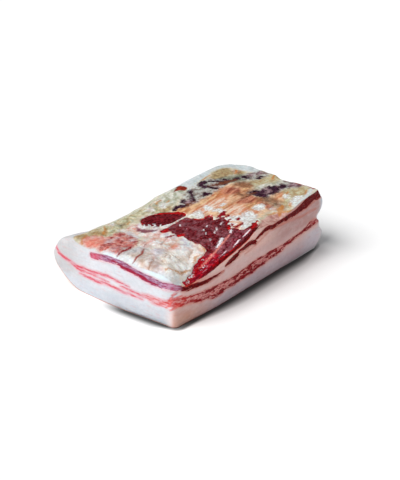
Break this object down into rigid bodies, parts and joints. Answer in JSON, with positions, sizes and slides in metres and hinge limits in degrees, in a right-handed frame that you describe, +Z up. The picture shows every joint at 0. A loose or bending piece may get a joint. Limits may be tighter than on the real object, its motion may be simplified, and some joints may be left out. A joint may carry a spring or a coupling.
{
  "type": "pork belly slab",
  "caption": "Raw pork belly slab lying skin side down, with streaked lean layers on its cut faces and skirt muscle on top.",
  "frame": {"origin": "centre of the bottom of the slab's bounding box, on the surface it lies on", "axes": "+X along the long cut away from the near short cut, +Y towards the curled back edge, +Z up from the skin side to the inner side"},
  "size_m": [0.255, 0.1606, 0.063],
  "materials": {
    "back_fat": "firm raw fat above the rind, moist",
    "streaked_lean": "thin raw lean streaks in fat, moist",
    "fat": "raw white fat, moist",
    "lean": "raw dark lean meat, wet",
    "inner_fat": "soft inner fat under a wet membrane",
    "muscle": "raw dark red muscle, wet"
  },
  "bodies": {
    "root": {"back_fat": "back_fat", "lower_lean": "streaked_lean", "middle_fat": "fat", "upper_lean": "lean", "inner_fat": "inner_fat", "skirt_muscle": "muscle", "small_skirt_muscle": "muscle"}
  },
  "joints": []
}
